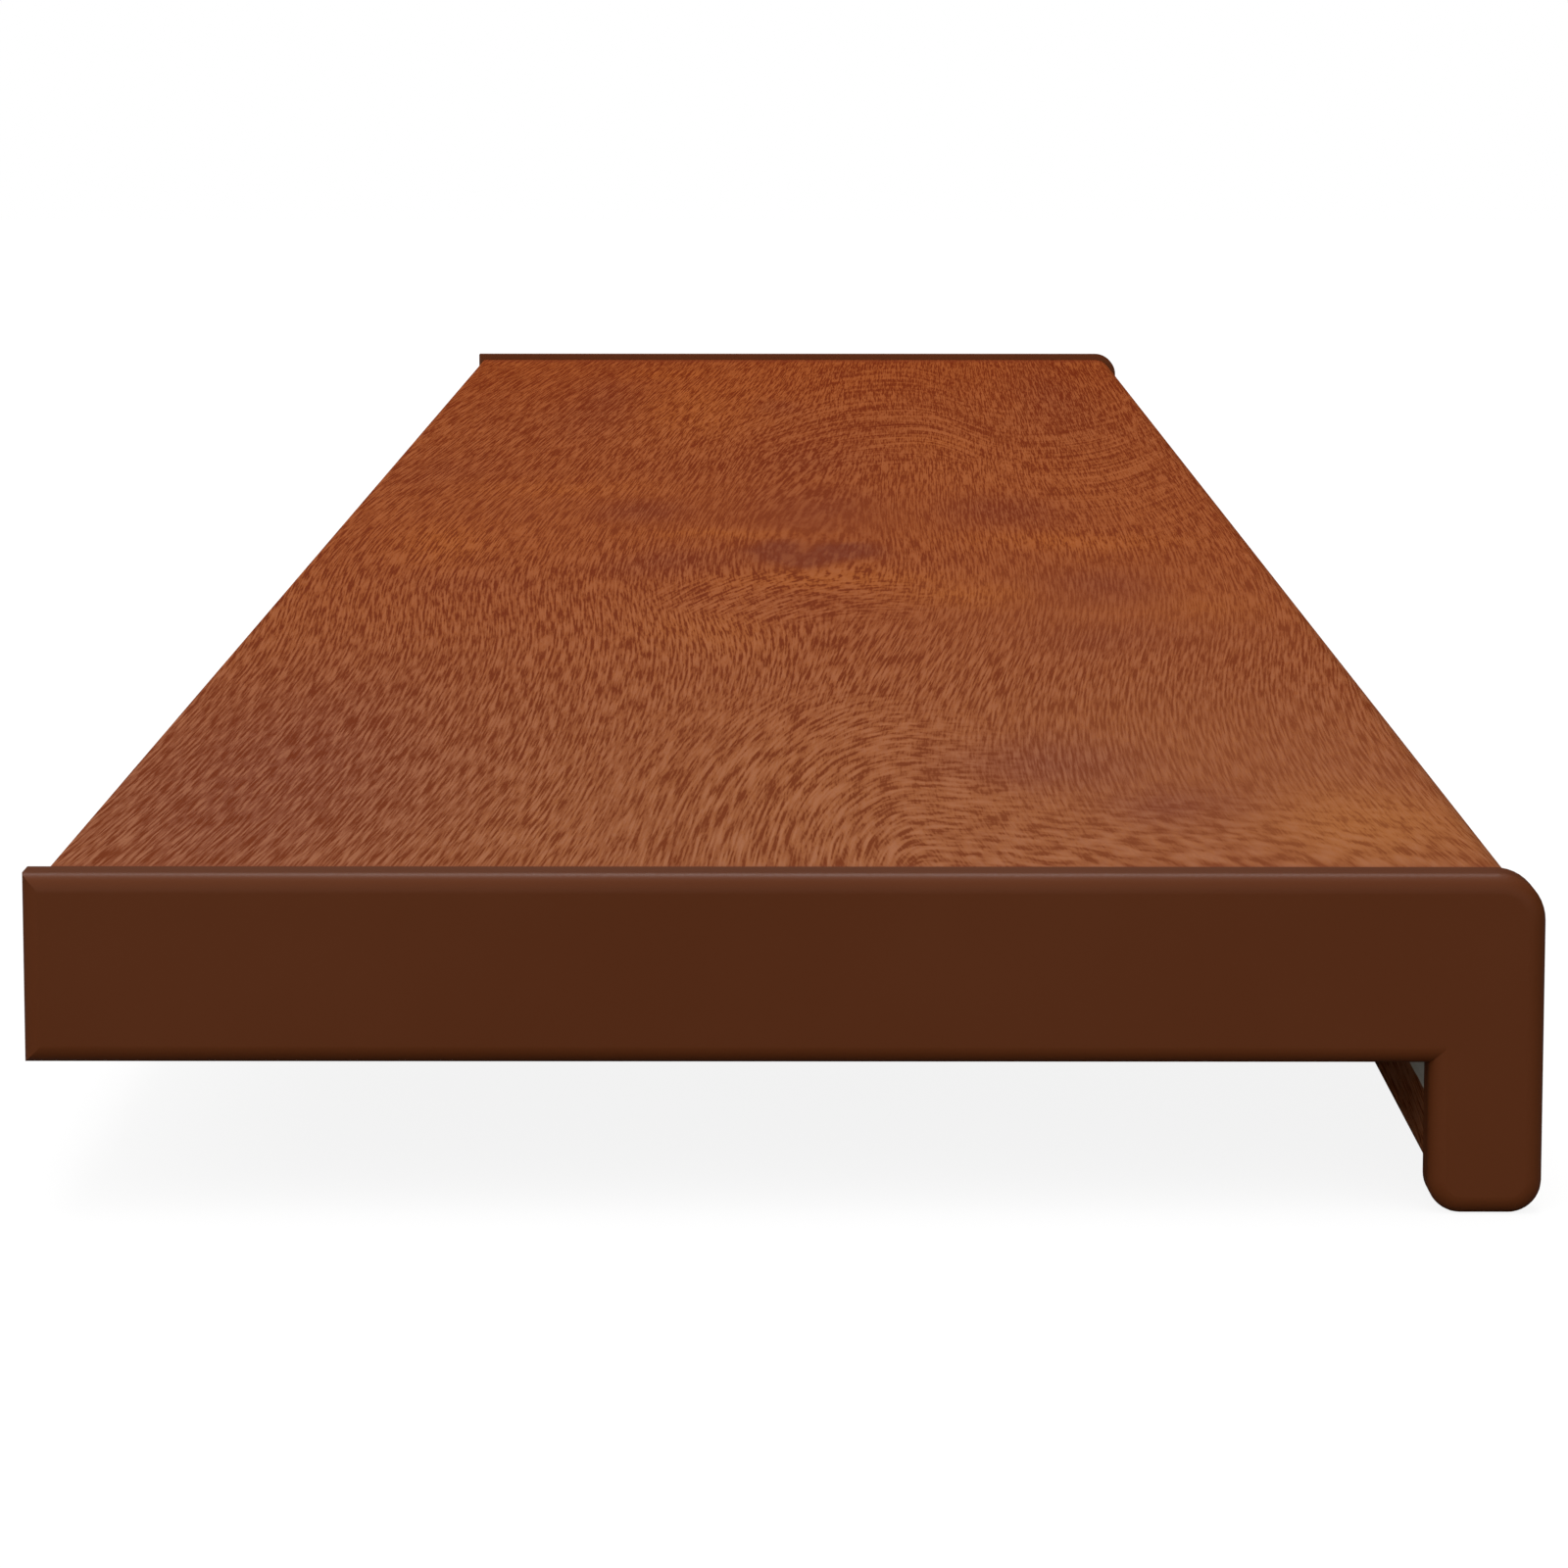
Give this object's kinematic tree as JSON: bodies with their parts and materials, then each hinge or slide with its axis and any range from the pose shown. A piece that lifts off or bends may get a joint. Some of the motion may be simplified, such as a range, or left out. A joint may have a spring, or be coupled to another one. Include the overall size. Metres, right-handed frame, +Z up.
{
  "type": "window sill board",
  "caption": "Hollow plastic window sill board with a drop nose, wood-pattern film on top and a moulded cap pushed over each end",
  "frame": {"origin": "under the middle of the board in both directions, level with the bottom of the nose", "axes": "+X from the window side to the nose, +Y along the board, to the right as seen from the room, +Z up"},
  "size_m": [0.183, 1, 0.0414],
  "materials": {
    "decor_film": "satin",
    "cap_plastic": "satin"
  },
  "bodies": {
    "root": {"sill_board": "decor_film", "end_cap_left": "cap_plastic", "end_cap_right": "cap_plastic"}
  },
  "joints": []
}
